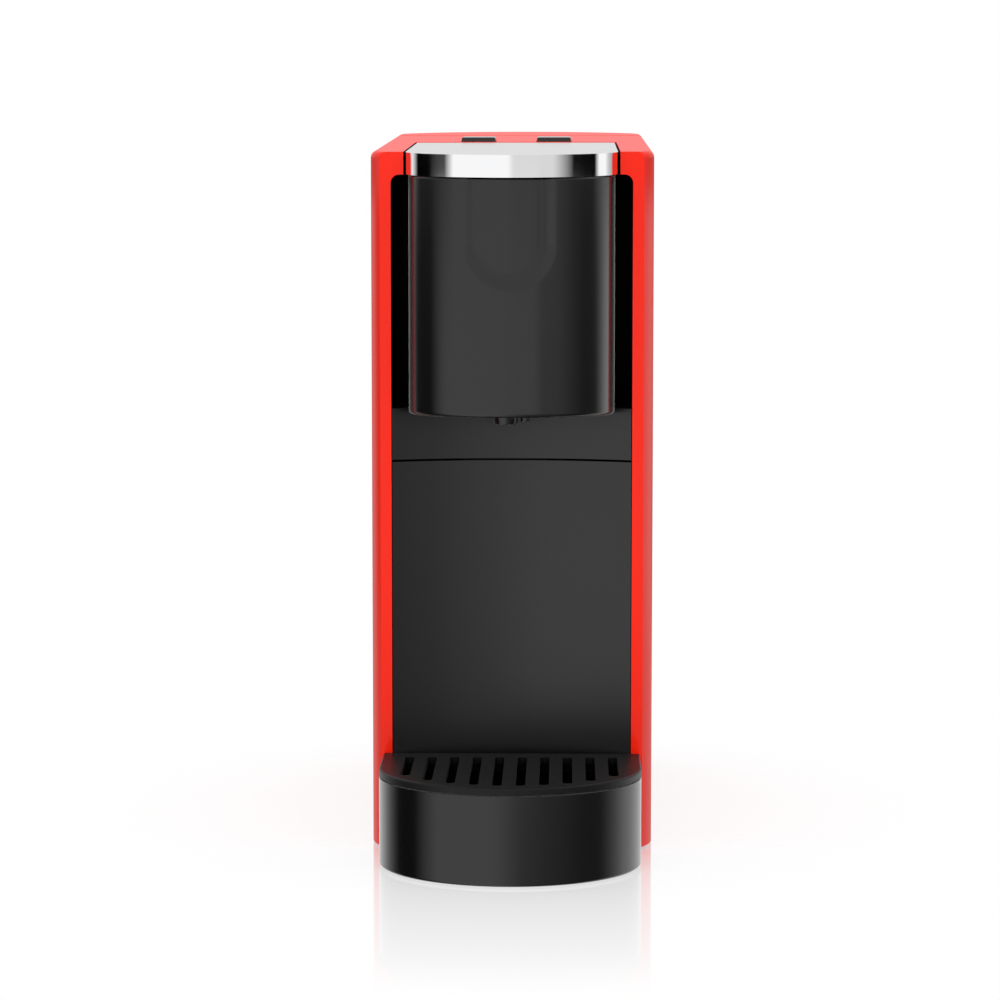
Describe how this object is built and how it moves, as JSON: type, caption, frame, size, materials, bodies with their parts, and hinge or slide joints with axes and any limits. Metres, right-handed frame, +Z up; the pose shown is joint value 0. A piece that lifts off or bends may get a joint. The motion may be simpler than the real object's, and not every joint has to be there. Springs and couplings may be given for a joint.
{
  "type": "espresso machine",
  "caption": "Slim capsule espresso machine: red body, black drum head, chrome loading lever, capsule drawer, round-fronted drip tray and rear water tank.",
  "frame": {"origin": "centre of the overall box, on the counter", "axes": "+Z up, front towards -Y, +X to the right seen from the front"},
  "size_m": [0.12, 0.328, 0.3118],
  "materials": {
    "red_gloss": "glossy red moulded ABS",
    "black_satin": "satin black moulded plastic",
    "black_gloss": "satin-gloss black moulded plastic",
    "black_matte": "fine-grained matt black plastic",
    "button_black": "glossy black plastic",
    "chrome_trim": "bright chrome skirt with a fine brushed top",
    "steel": "turned stainless steel",
    "chamber_steel": "glass-filled black nylon",
    "rubber_black": "soft black rubber",
    "smoked_clear": "smoked clear plastic",
    "white_plastic": "natural white plastic",
    "circuit_board": "green circuit board",
    "brass_pins": "brass contact",
    "pump_body": "zinc-plated steel frame and black coil",
    "cast_aluminium": "cast aluminium",
    "silicone_hose": "milky silicone hose"
  },
  "bodies": {
    "body": {"housing_shell": "red_gloss", "front_panel": "black_satin", "head_cover": "black_gloss", "head_deck": "black_satin", "brew_frame": "black_matte", "extraction_plate": "steel", "outlet_funnel": "black_matte", "spout": "black_gloss", "capsule_chute": "black_matte", "chassis": "black_matte", "tank_bay": "black_matte", "tank_socket": "black_matte", "socket_seal": "rubber_black", "base_plate": "black_matte", "foot_front_left": "rubber_black", "foot_front_right": "rubber_black", "foot_rear_left": "rubber_black", "foot_rear_right": "rubber_black", "base_screws": "steel", "vibration_pump": "pump_body", "pump_mount_front": "rubber_black", "pump_mount_rear": "rubber_black", "flow_meter": "white_plastic", "thermoblock": "cast_aluminium", "thermostat": "black_matte", "suction_hose": "silicone_hose", "feed_hose": "silicone_hose", "pressure_hose": "silicone_hose", "brew_hose": "silicone_hose", "main_board": "circuit_board", "button_board": "circuit_board", "power_inlet": "black_matte", "inlet_pins": "brass_pins", "switch_frame": "black_matte", "button_spring_left": "steel", "button_spring_right": "steel"},
    "lever": {"lever_cover": "chrome_trim", "lever_frame": "black_satin", "lever_pin": "steel"},
    "chamber": {"brew_chamber": "chamber_steel", "chamber_rod": "steel", "chamber_gasket": "rubber_black", "piercing_needles": "steel"},
    "button_left": {"button_left": "button_black"},
    "button_right": {"button_right": "button_black"},
    "drawer": {"drawer_front": "black_satin", "capsule_bin": "black_matte"},
    "tray": {"drip_tray": "black_gloss"},
    "grate": {"drip_grate": "black_gloss"},
    "tank": {"water_tank": "smoked_clear", "tank_filter": "white_plastic", "valve_spring": "steel"},
    "lid": {"tank_lid": "red_gloss", "lid_pin": "steel"},
    "valve": {"tank_valve": "white_plastic", "valve_seal": "rubber_black"},
    "rocker": {"switch_rocker": "black_gloss"}
  },
  "joints": [
    {"name": "lever_hinge", "type": "hinge", "parent": "body", "child": "lever", "pos_m": [0, 0.0155, 0.29676], "axis": [-1, 0, 0], "range_deg": [0, 85]},
    {"name": "chamber_slide", "type": "slide", "parent": "body", "child": "chamber", "axis": [0, 1, 0], "range_m": [0, 0.03], "deforming": ["brew_hose"]},
    {"name": "button_left_press", "type": "slide", "parent": "body", "child": "button_left", "axis": [0, 0, -1], "range_m": [0, 0.0015], "stiffness_N_per_m": 400, "deforming": ["button_spring_left"]},
    {"name": "button_right_press", "type": "slide", "parent": "body", "child": "button_right", "axis": [0, 0, -1], "range_m": [0, 0.0015], "stiffness_N_per_m": 400, "deforming": ["button_spring_right"]},
    {"name": "drawer_slide", "type": "slide", "parent": "body", "child": "drawer", "axis": [0, -1, 0], "range_m": [0, 0.11]},
    {"name": "tray_slide", "type": "slide", "parent": "drawer", "child": "tray", "axis": [0, -1, 0], "range_m": [0, 0.05]},
    {"name": "grate_lift", "type": "slide", "parent": "tray", "child": "grate", "axis": [0, 0, 1], "range_m": [0, 0.05]},
    {"name": "tank_lift", "type": "slide", "parent": "body", "child": "tank", "axis": [0, 0, 1], "range_m": [0, 0.15]},
    {"name": "lid_hinge", "type": "hinge", "parent": "tank", "child": "lid", "pos_m": [0, 0.1104, 0.30355], "axis": [1, 0, 0], "range_deg": [0, 90]},
    {"name": "valve_lift", "type": "slide", "parent": "tank", "child": "valve", "axis": [0, 0, 1], "range_m": [0, 0.003], "stiffness_N_per_m": 300, "deforming": ["valve_spring"]},
    {"name": "switch_rock", "type": "hinge", "parent": "body", "child": "rocker", "pos_m": [0.0545, 0.108, 0.024], "axis": [0, 0, -1], "range_deg": [0, 18]}
  ],
  "couplings": [
    {"joint": "chamber_slide", "follows": "lever_hinge", "m_per_rad": 0.020222}
  ]
}
